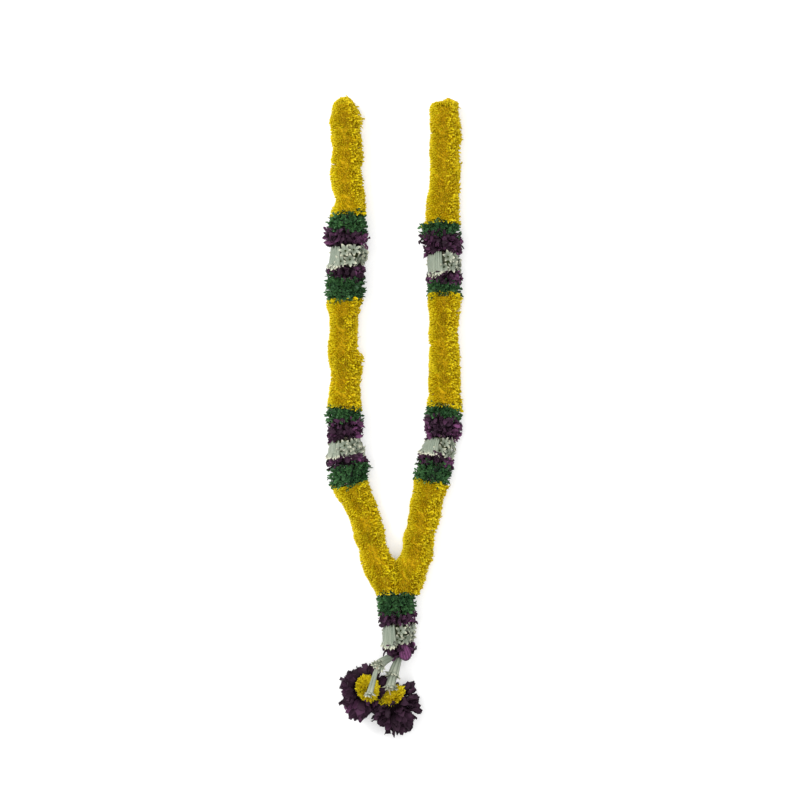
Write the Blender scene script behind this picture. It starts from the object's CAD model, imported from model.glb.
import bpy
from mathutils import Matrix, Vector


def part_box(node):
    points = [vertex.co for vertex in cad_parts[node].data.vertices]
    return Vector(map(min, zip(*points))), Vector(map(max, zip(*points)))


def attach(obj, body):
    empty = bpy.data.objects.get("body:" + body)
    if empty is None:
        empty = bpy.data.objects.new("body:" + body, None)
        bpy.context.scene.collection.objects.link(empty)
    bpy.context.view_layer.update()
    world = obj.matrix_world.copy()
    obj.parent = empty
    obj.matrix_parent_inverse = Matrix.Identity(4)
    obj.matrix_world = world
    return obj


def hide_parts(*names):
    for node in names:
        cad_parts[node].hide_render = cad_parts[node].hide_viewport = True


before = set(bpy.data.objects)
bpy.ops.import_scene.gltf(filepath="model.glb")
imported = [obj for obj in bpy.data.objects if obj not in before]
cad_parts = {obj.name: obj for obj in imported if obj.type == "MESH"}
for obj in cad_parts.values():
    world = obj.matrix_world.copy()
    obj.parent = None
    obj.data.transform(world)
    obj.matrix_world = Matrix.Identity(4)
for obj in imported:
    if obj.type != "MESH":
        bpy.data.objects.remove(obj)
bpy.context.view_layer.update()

# Looks of a flower garland that lies flat on a pale floor, seen from straight above: two strands
# of chrysanthemums banded with leaves, orchid petals and tuberoses, a pendant and two tassels.
# Shapes are worked out in millimetres and become metres when a mesh is made.

import logging
import math
from dataclasses import dataclass, replace
from enum import Enum
from typing import Sequence

import bpy
import numpy as np
from numpy.random import Generator, default_rng

MM = 0.001
SEED = 11
GOLDEN_ANGLE = math.pi * (3.0 - math.sqrt(5.0))
UP = np.array((0.0, 0.0, 1.0))
SHARP_ANGLE = math.radians(62)

Array = np.ndarray
Pair = tuple[float, float]
Point = tuple[float, float, float]
Colour = tuple[float, float, float]
Socket = bpy.types.NodeSocket
Value = Socket | Colour | float

log = logging.getLogger("garland")


class Kind(Enum):
    """The kinds of flower or leaf that a band is made of, and cord."""

    YELLOW = "yellow"
    GREEN = "green"
    PURPLE = "purple"
    WHITE = "white"
    CORD = "cord"


class Place(Enum):
    """The parts that nodes are named for: two strands, as seen from above, and the pendant."""

    LEFT = "left"
    RIGHT = "right"
    PENDANT = "pendant"

    @property
    def facing(self) -> float:
        """The sign of the way from the middle to this part."""
        return {"left": -1.0, "right": 1.0}.get(self.value, 0.0)


@dataclass(frozen=True)
class Run:
    """Bands of flowers tied along a line, which is measured in millimetres from its upper end."""

    place: Place
    line: tuple[Point, ...]
    # The length of each band; one of length 0 takes what is left of the line
    bands: dict[str, float]
    # A distance down the line, and how far the tips reach there on the left and on the right
    reach: tuple[Point, ...]
    # The turn, in degrees, from which the tuberose florets lie along the line
    laid_from: float
    # How far the rings of flowers lean and droop
    leans: Pair = (0.0, 0.0)
    # How the cord runs on through the pendant
    cord_tail: tuple[Point, ...] = ()


STRAND_BANDS = (
    "yellow_top", "green_1", "purple_1", "white_1", "purple_2", "green_2", "yellow_middle",
    "green_3", "purple_3", "white_2", "purple_4", "green_4", "yellow_lower",
)

# All lines and reaches are chosen by hand
RUNS = (
    Run(
        Place.LEFT,
        line=(
            (-79, 513, 21), (-76, 476, 21), (-74, 428, 21), (-74.5, 380, 21), (-70.5, 342, 21.5),
            (-73, 300, 24), (-73, 262, 25), (-77, 215, 23.5), (-80.5, 160, 21), (-79, 105, 21),
            (-79, 50, 21), (-78, 5, 22), (-75, -35, 24.5), (-70.5, -80, 25), (-67, -108, 23.5),
            (-57, -136, 21.5), (-41, -180, 21), (-27, -225, 21), (-18, -255, 21.5),
            (-15.2, -268, 22), (-15.2, -281.6, 22.5),
        ),
        bands=dict(zip(STRAND_BANDS, (190, 26, 26, 27, 22, 35, 173, 22, 27, 27, 17, 27, 0))),
        reach=(
            (0, 6, 7), (2, 10.5, 10), (5, 15, 13), (11, 19.5, 17), (21, 22, 21), (32, 26, 26.5),
            (42, 28, 29), (50, 27, 24), (66, 26, 25), (85, 23.5, 26), (100, 26.5, 27.5),
            (114, 28, 24), (128, 29, 26.5), (143, 27, 27), (153, 25, 27.5), (162, 21.5, 28),
            (172, 24, 27.5), (181, 28.5, 29), (191, 31, 30), (201, 32, 33.5), (210, 37, 35),
            (230, 38.5, 32), (249, 28, 33), (268, 28.5, 30), (287, 31, 33), (297, 35, 35),
            (316, 31, 35), (336, 29, 28.5), (355, 22, 26), (384, 24, 24), (403, 28, 22),
            (422, 26.5, 32), (441, 21, 30.5), (460, 23.5, 26.5), (489, 28.5, 29), (508, 32, 30),
            (528, 27.5, 32), (547, 31.5, 26.5), (566, 30.5, 27), (586, 37, 31.5), (595, 36, 38),
            (615, 36, 29), (624, 31.5, 27.5), (645, 26.5, 28.5), (665, 24, 28.5), (686, 23.5, 28),
            (706, 26.5, 28), (726, 25, 22.5), (746, 27.5, 24.5), (756, 27.5, 28), (766, 26.5, 35),
            (776, 25.5, 37), (796, 19, 37), (804, 14.5, 37),
        ),
        laid_from=117.0,
        leans=(3.0, 0.5),
        cord_tail=(
            (-8.5, -297, 23.5), (-1, -312, 24.5), (1.8, -346, 24.5), (4.4, -386, 24),
        ),
    ),
    Run(
        Place.RIGHT,
        line=(
            (83, 508, 21), (82, 470, 21), (80.5, 425, 21), (80.5, 380, 21), (79, 335, 21),
            (78.5, 300, 23), (79.5, 262, 25), (80.5, 215, 23.5), (80, 160, 21), (80, 105, 21),
            (81, 50, 21), (80.5, 15, 22), (76.5, -30, 24.5), (68, -75, 25), (60, -105, 23.5),
            (51, -140, 21.5), (42, -180, 21), (34.5, -225, 21), (25, -255, 21.5), (22.6, -268, 22),
            (22.6, -281.6, 22.5),
        ),
        bands=dict(zip(STRAND_BANDS, (196, 18, 32, 26, 17, 22, 178, 19, 31, 27, 19, 26, 0))),
        reach=(
            (0, 1, 16), (2, 5, 19), (3, 14, 21), (6, 21.5, 23), (11, 24.5, 23), (22, 26, 23.5),
            (42, 24.5, 28.5), (61, 22.5, 30), (80, 24.5, 27), (99, 24.5, 28), (118, 23.5, 28),
            (147, 25.5, 27.5), (176, 29, 28), (195, 28.5, 28.5), (200, 35, 29.5), (206, 38.5, 30),
            (215, 38, 31.5), (234, 31.5, 34), (253, 30, 31), (272, 25, 30), (291, 27.5, 30),
            (311, 27.5, 31), (330, 26, 28.5), (349, 23, 27), (368, 24, 24.5), (407, 24, 27),
            (445, 26.5, 28), (474, 25.5, 28), (493, 29, 32.5), (512, 31, 30), (532, 28, 33.5),
            (541, 26, 28), (561, 26.5, 27.5), (571, 31, 26.5), (590, 32, 30), (610, 31, 30),
            (630, 25.5, 27.5), (650, 26.5, 28), (670, 24, 29), (689, 22, 27), (709, 26, 27.5),
            (728, 24, 30), (738, 25, 28.5), (748, 28.5, 26), (758, 34, 27), (768, 37, 27),
            (788, 37, 24), (796, 37, 20),
        ),
        laid_from=94.0,
        leans=(2.5, 4.0),
        cord_tail=(
            (16, -297, 23.5), (9.4, -312, 24.5), (10.4, -346, 24.5), (13, -386, 24),
        ),
    ),
    Run(
        Place.PENDANT,
        line=(
            (4, -282, 24), (4, -310, 24.5), (6.4, -350, 24.5), (8.8, -385, 24),
        ),
        bands={"green": 29, "purple_upper": 19, "white": 30, "purple_lower": 24},
        reach=(
            (0, 33, 35), (12, 31, 35), (25, 29.5, 33.5), (34, 27, 35), (40, 29, 36), (48, 25, 33),
            (60, 24, 31), (74, 23, 30), (80, 27, 29), (90, 21, 27.5), (98, 16, 24), (102, 13, 20),
        ),
        laid_from=96.0,
    ),
)

# The broad petal at the foot of the pendant: its band, root, tip and width
BROAD_PETAL = ("purple_lower", (15.0, -357.0, 45.0), (22.5, -388.0, 41.0), 21.0)

# The free end of the left strand and the left strand's wall of the V in the lists above, which
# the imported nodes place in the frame
LEFT_FREE_END = 513.0
LEFT_WALL_OF_V = 3.2
MIDDLE_OF_V = 3.4
# How far the petals of the two strands reach into each other in the V
V_OVERLAP = 2.0
# How far down a strand its cord starts
CORD_TOP = 9.0
# The surface between the tassels, and the way that it faces towards the right one
BETWEEN_TASSELS = (-24.4, -453.0, 20.0)
TOWARDS_RIGHT_TASSEL = (0.79, -0.61, 0.0)


@dataclass
class Shape:
    """Points in millimetres, their faces and the values that a finish reads at each point."""

    points: Array
    quads: Array
    tris: Array
    values: dict[str, Array]

    @staticmethod
    def joined(shapes: Sequence["Shape"]) -> "Shape":
        """Puts several shapes into one mesh, each still a closed body.

        Args:
            shapes: the shapes to join, which all carry the same values.

        Returns:
            One shape with the faces numbered anew.
        """
        starts = np.cumsum([0] + [len(shape.points) for shape in shapes])
        return Shape(
            np.concatenate([shape.points for shape in shapes]),
            np.concatenate([shape.quads + start for shape, start in zip(shapes, starts)]),
            np.concatenate([shape.tris + start for shape, start in zip(shapes, starts)]),
            {
                name: np.concatenate([shape.values[name] for shape in shapes])
                for name in shapes[0].values
            },
        )

    def mark(self, ring: Array) -> "Shape":
        """The shape itself, once each of its like bodies has its own value ring."""
        self.values["ring"] = np.repeat(ring, len(self.points) // len(ring))
        return self

    def pressed(self, walls: Sequence["Wall"]) -> "Shape":
        """Presses the shape against walls.

        Args:
            walls: the walls, in turn.

        Returns:
            The shape itself.
        """
        for wall in walls:
            self.points = wall.press(self.points)
        return self


def unit(vectors: Array) -> Array:
    """Each vector divided by its own length."""
    return vectors / np.maximum(np.linalg.norm(vectors, axis=-1, keepdims=True), 1e-9)


def smooth_step(values: Array, low: float, high: float) -> Array:
    """0 below low, 1 above high and the cubic 3t^2 - 2t^3 between them."""
    share = np.clip((values - low) / (high - low), 0.0, 1.0)
    return share * share * (3.0 - 2.0 * share)


def circle(first: Array, second: Array, turn: Array) -> Array:
    """The way first cos(turn) + second sin(turn), for two ways square to each other."""
    return first * np.cos(turn)[..., None] + second * np.sin(turn)[..., None]


def splay(axis: Array, level: Array, lean: Array) -> tuple[Array, Array]:
    """The ways that a blade points and looks when it leans from an axis towards a level way."""
    return circle(axis, level, lean), circle(-level, axis, lean)


def square_frame(axis: Array, near: Array) -> tuple[Array, Array]:
    """Two directions square to each axis, the first as near as can be to a given one."""
    first = unit(near - np.sum(near * axis, axis=-1, keepdims=True) * axis)
    return first, np.cross(axis, first)


def spread_on_disc(count: int) -> tuple[Array, Array]:
    """Even places on a disc: shares sqrt(i / n) of its radius, and turns by the golden angle."""
    index = np.arange(count)
    return np.sqrt((index + 0.5) / count), index * GOLDEN_ANGLE


def bodies(body: Array, poles: Array, along: Array, across: Array, tint: Array) -> Shape:
    """Closes many like bodies: rings of points with quads between, and a fan at each pole.

    Args:
        body: the points of each body, ring and column.
        poles: the two poles of each body.
        along: the value along of each ring, then of the poles.
        across: the value across of each column; the poles have 0.
        tint: the tint of each body.

    Returns:
        All bodies as one shape, with 0 as the value ring.
    """
    count, rings, columns = body.shape[:3]
    points = np.concatenate([body.reshape(count, -1, 3), poles], axis=1)
    each = points.shape[1]
    column = np.arange(columns)
    after = (column + 1) % columns
    ring = np.arange(rings - 1)[:, None] * columns
    corners = (ring + column, ring + after, ring + columns + after, ring + columns + column)
    pole = np.full(columns, rings * columns)
    last = (rings - 1) * columns
    tris = np.concatenate([
        np.stack([pole, after, column], axis=1),
        np.stack([pole + 1, last + column, last + after], axis=1),
    ])
    shifts = np.arange(count)[:, None, None] * each
    return Shape(
        points.reshape(-1, 3),
        (np.stack(corners, axis=-1).reshape(1, -1, 4) + shifts).reshape(-1, 4),
        (tris + shifts).reshape(-1, 3),
        {
            "tint": np.repeat(tint, each),
            "ring": np.zeros(count * each),
            "along": np.tile(np.append(np.repeat(along[:-2], columns), along[-2:]), count),
            "across": np.tile(np.append(np.tile(across, rings), (0.0, 0.0)), count),
        },
    )


class Line:
    """A smooth line through hand-chosen points, with a frame of directions along it.

    Between two points it is their Catmull-Rom cubic: the start, plus half of (end's pull) t,
    (2a - 5b + 4c - d) t^2 and (3b - a - 3c + d) t^3 for four neighbours a, b, c and d. Rings of
    flowers tied to it lean this way and that, and their sides droop further along than their
    tops, but not near its ends.
    """

    SAMPLES = 24
    LEAN_PITCH = 11.0
    FADE_IN = (20.0, 100.0)
    FADE_OUT = (0.0, 60.0)

    def __init__(
        self, points: Sequence[Point], shift: Array, lean: float = 0.0, droop: float = 0.0
    ) -> None:
        """Works out the dense line.

        Args:
            points: points that the line passes through, in millimetres.
            shift: what is added to each of them.
            lean: how far rings lean.
            droop: how far their sides droop.
        """
        self.lean, self.droop = lean, droop
        knots = np.array(points, float) + shift
        knots = np.vstack([2 * knots[0] - knots[1], knots, 2 * knots[-1] - knots[-2]])
        a, b, c, d = (knots[k : len(knots) - 3 + k, None] for k in range(4))
        t = np.linspace(0.0, 1.0, self.SAMPLES, endpoint=False)[None, :, None]
        bend = (2 * a - 5 * b + 4 * c - d) * t**2 + (3 * b - a - 3 * c + d) * t**3
        curve = b + 0.5 * ((c - a) * t + bend)
        self.points = np.vstack([curve.reshape(-1, 3), knots[-2]])
        steps = np.linalg.norm(np.diff(self.points, axis=0), axis=1)
        self.along = np.concatenate([[0.0], np.cumsum(steps)])
        self.length = float(self.along[-1])
        self.slope = np.gradient(self.points, self.along, axis=0)

    def read(self, table: Array, distance: Array) -> Array:
        """Values of a table kept along the line, at each distance."""
        return np.stack([np.interp(distance, self.along, table[:, k]) for k in range(3)], -1)

    def frame(self, distance: Array) -> tuple[Array, ...]:
        """The frame at distances along the line; past its ends the line runs straight.

        Args:
            distance: distances, in an array of any shape.

        Returns:
            Centres and the ways sideways, up and forward.
        """
        distance = np.asarray(distance, float)
        forward = unit(self.read(self.slope, distance))
        over = distance - np.clip(distance, 0.0, self.length)
        centre = self.read(self.points, distance) + forward * over[..., None]
        side = unit(np.cross(np.broadcast_to(UP, forward.shape), forward))
        return centre, side, np.cross(forward, side), forward

    def slant(self, distance: Array, turn: Array) -> Array:
        """How much further along the line a point of a ring lies, for the ring's lean.

        It is lean sin(turn + distance / pitch) + droop (1 - sin turn), faded near the ends.

        Args:
            distance: distances along the line.
            turn: turns about it, 0 to the right and a quarter turn upwards.

        Returns:
            A shift for each.
        """
        fade = smooth_step(distance, *self.FADE_IN)
        fade = fade * smooth_step(self.length - distance, *self.FADE_OUT)
        wave = self.lean * np.sin(turn + distance / self.LEAN_PITCH)
        return fade * (wave + self.droop * (1.0 - np.sin(turn)))

    def around(self, distance: Array, turn: Array) -> tuple[Array, ...]:
        """Centres and the ways outward and forward, on rings that lean by the slant.

        Args:
            distance: distances along the line.
            turn: turns about it.

        Returns:
            Three arrays with three numbers for each place.
        """
        centre, side, up, forward = self.frame(distance + self.slant(distance, turn))
        return centre, circle(side, up, turn), forward


@dataclass(frozen=True)
class Wall:
    """A flat surface that petals lie pressed against: a point of it and the way it faces."""

    point: Point
    normal: Point
    softness: float = 2.5

    def distance(self, points: Array) -> Array:
        """How far in front of the wall points lie."""
        return (points - np.array(self.point)) @ unit(np.array(self.normal, float))

    def press(self, points: Array) -> Array:
        """Points pressed back to the wall's open side.

        One nearer than the softness h, at distance d, moves to h e^((d - h) / h), which is
        always in front of the wall and joins the untouched part smoothly.

        Args:
            points: points in millimetres.

        Returns:
            The pressed points.
        """
        normal = unit(np.array(self.normal, float))
        distance = self.distance(points)
        near = np.minimum(distance - self.softness, 0.0) / self.softness
        pressed = np.where(distance < self.softness, self.softness * np.exp(near), distance)
        return points + (pressed - distance)[..., None] * normal


FLOOR = Wall((0.0, 0.0, 0.0), (0.0, 0.0, 1.0), 3.0)
# How high the highest petals may stand
CEILING = Wall((0.0, 0.0, 76.5), (0.0, 0.0, -1.0), 6.0)


@dataclass
class Stretch:
    """Where flowers are tied: a part of a run's line, and the walls that press them."""

    run: Run
    line: Line
    start: float
    length: float
    walls: tuple[Wall, ...]
    draw: Generator

    def reach(self, height: Array, turn: Array) -> Array:
        """How far the tips reach from the line, on rings that lean by the line's slant.

        With w = (1 + cos turn) / 2 it is w times the run's reach on the right, and 1 - w times
        the one on the left.

        Args:
            height: heights along the stretch.
            turn: turns about it.

        Returns:
            A radius for each place.
        """
        place, left, right = np.array(self.run.reach, float).T
        share = (1.0 + np.cos(turn)) / 2.0
        at = height + self.start
        at = at + self.line.slant(at, turn)
        reach = (1.0 - share) * np.interp(at, place, left) + share * np.interp(at, place, right)
        return np.maximum(reach, 1.0)

    def around(self, height: Array, turn: Array) -> tuple[Array, ...]:
        """Centres and the ways outward and forward, as the line has them."""
        return self.line.around(height + self.start, turn)

    @property
    def radius(self) -> float:
        """The mean radius of the stretch."""
        return float(self.reach(np.linspace(0.0, self.length, 9), math.pi / 2).mean())

    def places_for(self, area: float) -> int:
        """How many things of an area each cover the stretch."""
        return round(math.tau * self.radius * self.length / area)

    def spread(self, count: int) -> tuple[Array, Array]:
        """Even places: heights in steady steps and turns by the golden angle, a little strayed.

        Args:
            count: how many places.

        Returns:
            Heights along the stretch and turns about it.
        """
        index = np.arange(count)
        height = (index + 0.5) / count * self.length
        height = height + self.draw.uniform(-0.04, 0.04, count) * self.length
        turn = index * GOLDEN_ANGLE + self.draw.uniform(-0.1, 0.1, count)
        return np.clip(height, 0.02 * self.length, 0.98 * self.length), turn

    def finished(self, shape: Shape, core: Shape) -> Shape:
        """A shape pressed against the walls, together with its core."""
        return Shape.joined([shape.pressed(self.walls), core])


@dataclass(frozen=True)
class Blade:
    """A kind of petal or leaf: a thin closed blade with an outline and a section.

    The half width at a share s of the length is sin(pi s^skew)^fullness. Across the blade the
    upper face rises by cup c^2 at c from -1 to 1, and the lower face lies a thickness under it.
    Every other column is pulled ahead and those between back, by notches s^6, and a blade's
    finish goes the share fade of the way to its tip's.
    """

    rings: int = 3
    columns: int = 3
    skew: float = 1.5
    fullness: float = 0.6
    first: float = 0.12
    last: float = 0.95
    thickness: float = 0.45
    waves: float = 0.0
    notches: float = 0.0
    fade: float = 1.0
    # For blades drawn at random: mean and deviation of the curl, the range of the cup, the
    # deviation of the twist, and the range of the ruffle
    curls: Pair = (0.0, 0.0)
    cups: Pair = (0.0, 0.0)
    twists: float = 0.0
    ruffles: Pair | None = None

    def grow(
        self, root: Array, chord: Array, face: Array, length: Array, width: Array,
        curl: Array, cup: Array, twist: Array, ruffle: Array, tint: Array,
    ) -> Shape:
        """Grows one blade from each root along an arc.

        The middle of a blade is a circular arc that turns by curl towards its upper face and
        whose ends lie along the chord. Its section turns by twist on the way.

        Args:
            root: where each blade starts.
            chord: the way from its root to its tip.
            face: the way that its upper face looks, square to the chord.
            length: its length along the arc.
            width: its full width.
            curl: how far the arc turns, in radians.
            cup: how far the edges rise, as a share of the half width.
            twist: how far the section turns, in radians.
            ruffle: height of the waves at the edges, as a share of the half width.
            tint: its tint, for the finish and for where its waves start.

        Returns:
            All blades as one shape.
        """
        rings = self.rings
        half = curl[:, None] / 2
        heading = chord * np.cos(half) - face * np.sin(half)
        face = face * np.cos(half) + chord * np.sin(half)
        side = np.cross(heading, face)
        heading, face, side = heading[:, None], face[:, None], side[:, None]
        share = np.concatenate([np.linspace(self.first, self.last, rings), [0.0, 1.0]])
        bent = np.where(np.abs(curl) < 0.01, 0.01, curl)[:, None]
        arc = bent * share
        ahead = length[:, None] * np.sin(arc) / bent
        lift = length[:, None] * (1.0 - np.cos(arc)) / bent
        middle = root[:, None] + heading * ahead[..., None] + face * lift[..., None]
        onward, normal = circle(heading, face, arc), circle(face, -heading, arc)
        turn = twist[:, None] * share
        flat, normal = circle(side, normal, turn), circle(normal, -side, turn)

        upper = np.linspace(-1.0, 1.0, self.columns)
        across = np.concatenate([upper, upper[-2:0:-1]])
        below = np.concatenate([np.zeros(self.columns), np.ones(self.columns - 2)])
        count = np.concatenate([np.arange(self.columns), np.arange(self.columns - 2, 0, -1)])
        outline = np.sin(math.pi * share[:rings] ** self.skew) ** self.fullness
        half_width = (width[:, None] / 2 * outline)[..., None]
        phase = tint[:, None, None] * math.tau
        wave = np.sin(self.waves * math.tau * share[:rings, None] + phase + 2.0 * across)
        rise = half_width * across**2 * (cup[:, None, None] + ruffle[:, None, None] * wave)
        rise = rise - below * self.thickness * (1.0 - 0.6 * across**2)
        notch = self.notches * share[:rings, None] ** 6 * (-1.0) ** count
        body = (
            middle[:, :rings, None]
            + flat[:, :rings, None] * (half_width * across)[..., None]
            + normal[:, :rings, None] * rise[..., None]
            + onward[:, :rings, None] * notch[..., None]
        )
        return bodies(body, middle[:, rings:], self.fade * share, across, tint)

    def scatter(
        self, draw: Generator, root: Array, chord: Array, face: Array, length: Array,
        width: Array, tint: Array | None = None,
    ) -> Shape:
        """Grows blades whose curl, cup, twist, ruffle and tint are drawn at random.

        Args:
            draw: the random draws.
            root: where each blade starts.
            chord: the way from its root to its tip.
            face: the way that its upper face looks.
            length: its length.
            width: its full width.
            tint: its tint, where it isn't drawn.

        Returns:
            All blades as one shape.
        """
        count = len(root)
        curl = draw.normal(*self.curls, count)
        cup = draw.uniform(*self.cups, count)
        twist = draw.normal(0.0, self.twists, count)
        ruffle = draw.uniform(*self.ruffles, count) if self.ruffles else np.zeros(count)
        if tint is None:
            tint = draw.uniform(0, 1, count)
        return self.grow(root, chord, face, length, width, curl, cup, twist, ruffle, tint)


def tubes(
    middle: Array, side: Array, ahead: Array, radius: Array, columns: int, along: Array,
    tint: Sequence[float] = (0.5,),
) -> Shape:
    """Closed tubes of changing radius, each a circle carried along its own path.

    A ring's points lie at middle + radius (side cos a - other sin a), where other is square to
    both the side and the way ahead.

    Args:
        middle: ring centres, for each tube, then for each ring; the ends become poles.
        side: one direction square to the path, for each tube and ring.
        ahead: the path's direction there.
        radius: radius for each tube, ring and column, or one for all columns; those of the two
            ends aren't read.
        columns: points round a ring.
        along: the value along that the finish reads, one for each ring.
        tint: the tint of each tube.

    Returns:
        All tubes as one shape.
    """
    turn = math.tau * np.arange(columns) / columns
    other = -np.cross(ahead, side)
    arms = circle(side[:, 1:-1, None], other[:, 1:-1, None], turn)
    body = middle[:, 1:-1, None] + arms * radius[:, 1:-1, :, None]
    along = np.append(along[1:-1], along[[0, -1]])
    return bodies(body, middle[:, [0, -1]], along, np.cos(2 * turn), np.array(tint))


CORE_STEP = 7.0
CORE_COLUMNS = 16


def core_of(stretch: Stretch, share: float, shade: float = 0.0) -> Shape:
    """The dense middle of a stretch, where stems and petal roots are packed together.

    Args:
        stretch: where the flowers are tied.
        share: the core's radius as a share of the tips' reach.
        shade: the value along that its finish reads, 0 for the colour at a petal's root.

    Returns:
        One closed tube, whose radius swells gently by a few sines.
    """
    rings = max(3, round(stretch.length / CORE_STEP))
    inset = min(3.0, stretch.length * 0.1)
    stations = np.linspace(inset, stretch.length - inset, rings)
    stations = np.concatenate([[stations[0] - 0.5], stations, [stations[-1] + 0.5]])
    centre, side, _, forward = stretch.line.frame(stations + stretch.start)
    swell = 1.0 + 0.04 * np.sin(stations * 0.35) + 0.03 * np.sin(stations * 0.81)
    turn = math.tau * np.arange(CORE_COLUMNS) / CORE_COLUMNS
    radius = stretch.reach(stations[:, None], turn) * (share * swell)[:, None]
    along = np.full(len(stations), shade)
    shape = tubes(centre[None], side[None], forward[None], radius[None], CORE_COLUMNS, along)
    return shape.pressed(stretch.walls)


@dataclass
class Chrysanthemums:
    """Yellow chrysanthemums packed so closely that their petals' tips form one surface."""

    # The area of a strand, and of a tassel's head, that one petal covers
    area_each: float = 8.5
    cushion_area_each: float = 4.4
    # Blooms are a pitch apart along a strand, and so many go round it
    pitch: float = 26.0
    round_about: int = 6
    overhang: float = 2.0
    # How much lower than its middle the edge of a bloom lies
    dome: float = 1.6
    petal_length: float = 11.5
    petal_width: float = 3.1
    # How deep petals are rooted, and how far they point from straight below their own tips
    root_share: float = 0.32
    straight: float = 0.74
    end_depth: float = 24.0
    core_share: float = 0.70
    core_shade: float = 0.25
    # Where the core starts at a free end, as a share of the end's depth
    core_inset: float = 0.4
    # How far a tight petal strays, curls and is sunk at random, and what a loose one adds
    strays: Pair = (0.09, 0.25)
    curls: Pair = (0.32, 0.35)
    sinks: Pair = (0.35, 0.95)
    blade: Blade = Blade(skew=1.9, fullness=0.55, first=0.22, last=0.94)

    def fan(
        self, base: Array, tip: Array, axis: Array, ring: Array, loose: Array, pull: Array,
        tint: Array, draw: Generator,
    ) -> Shape:
        """Petals that point from their bloom's base to their tips.

        The inner petals curl in over the bloom's middle and the outer ones curl back. Loose
        ones are slimmer and lean further from their place.

        Args:
            base: the point that each petal points from.
            tip: where each petal ends.
            axis: the way its bloom faces.
            ring: 0 for a petal in the middle of its bloom and 1 at the edge.
            loose: how loosely it lies, from 0 to 1.
            pull: what is added to its direction.
            tint: its tint, for the finish.
            draw: the random draws.

        Returns:
            The petals as one shape.
        """
        count = len(tip)
        (stray, stray_more), (bow, bow_more) = self.strays, self.curls
        astray = np.clip(draw.normal(0.0, 1.0, (count, 3)), -1.7, 1.7)
        chord = unit(unit(tip - base) + pull + astray * (stray + stray_more * loose)[:, None])
        upright = np.sum(chord * axis, axis=1, keepdims=True)
        level = unit(chord - axis * upright)
        face = axis * np.sum(chord * level, axis=1, keepdims=True) - level * upright
        length = self.petal_length * draw.uniform(0.85, 1.15, count)
        curl = (0.5 + 0.4 * loose) * (1.0 - 1.8 * ring)
        curl = curl + np.clip(draw.normal(0.0, 1.0, count), -2.0, 2.0) * (bow + bow_more * loose)
        width = self.petal_width * draw.uniform(0.8, 1.2, count) * (1.0 + 0.1 * loose)
        root = tip - chord * (length * np.sinc(curl / math.pi))[:, None]
        cup, twist = draw.uniform(0.15, 0.65, count), draw.normal(0.0, 0.35, count)
        return self.blade.grow(
            root, chord, face, length, width, curl, cup, twist, np.zeros(count),
            np.clip(tint, 0, 1),
        ).mark(ring)

    def blooms(self, stretch: Stretch) -> Shape:
        """Petals whose tips are spread evenly, each pointing from the nearest bloom's base.

        Tip i of n lies at the height of i / n of the length and at i golden angles. It is sunk
        by dome d^2, where d is the distance from its bloom's middle as a share of the bloom's
        radius. Its petal points from a base between its bloom's and the one straight below.

        Args:
            stretch: where the blooms are tied.

        Returns:
            The petals as one shape.
        """
        draw = stretch.draw
        many = stretch.places_for(self.area_each)
        share = (np.arange(many) + 0.5) / many
        height = share * (stretch.length + 2.0 * self.overhang) - self.overhang
        height = height + draw.normal(0.0, 0.8, many)
        turn = np.arange(many) * GOLDEN_ANGLE + draw.normal(0.0, 0.03, many)
        if stretch.start == 0.0:
            height = np.maximum(height, draw.uniform(0.0, 2.0, many))

        rows = max(1, round(stretch.length / self.pitch))
        index = np.arange(rows * self.round_about)
        row = index // self.round_about
        spot = (index % self.round_about + 0.5 * (row % 2)) / self.round_about * math.tau
        spot = spot + draw.uniform(-0.2, 0.2, len(index))
        level = (row + 0.5) * stretch.length / rows + draw.uniform(-3.5, 3.5, len(index))
        aside = (turn[:, None] - spot + math.pi) % math.tau - math.pi
        away = np.hypot(height[:, None] - level, aside * stretch.radius)
        own = away.argmin(axis=1)
        ring = np.clip(away.min(axis=1) / (0.6 * self.pitch), 0, 1)

        loose = smooth_step(np.cos(turn), -0.05, 0.6)
        size = draw.uniform(-0.8, 0.8, len(index))[own]
        sink, sink_more = self.sinks
        sunk = self.dome * ring**2 - size + draw.normal(0.0, 1.0, many) * (sink + sink_more * loose)
        centre, outward, forward = stretch.around(height, turn)
        reach = stretch.reach(height, turn)
        tip = reach - 0.8 - np.clip(sunk, -0.8, 3.6)
        tip = centre + outward * np.maximum(tip, 1.0)[:, None]

        bloom_centre, bloom_axis, _ = stretch.around(level, spot)
        deep = self.root_share * stretch.reach(level, spot)
        base = (bloom_centre + bloom_axis * deep[:, None])[own] * (1.0 - self.straight)
        base = base + (centre + outward * (self.root_share * reach)[:, None]) * self.straight
        pull = 0.10 * forward
        for wall in stretch.walls[1:]:
            pull = pull + forward * (0.4 * smooth_step(wall.distance(tip), 14.0, 2.0))[:, None]
        lemon = smooth_step(-np.cos(turn), -0.7, 0.6)
        tint = 0.25 * draw.uniform(0, 1, len(index))[own] + 0.35 * draw.uniform(0, 1, many)
        return self.fan(base, tip, bloom_axis[own], ring, loose, pull, tint + 0.4 * lemon, draw)

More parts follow.
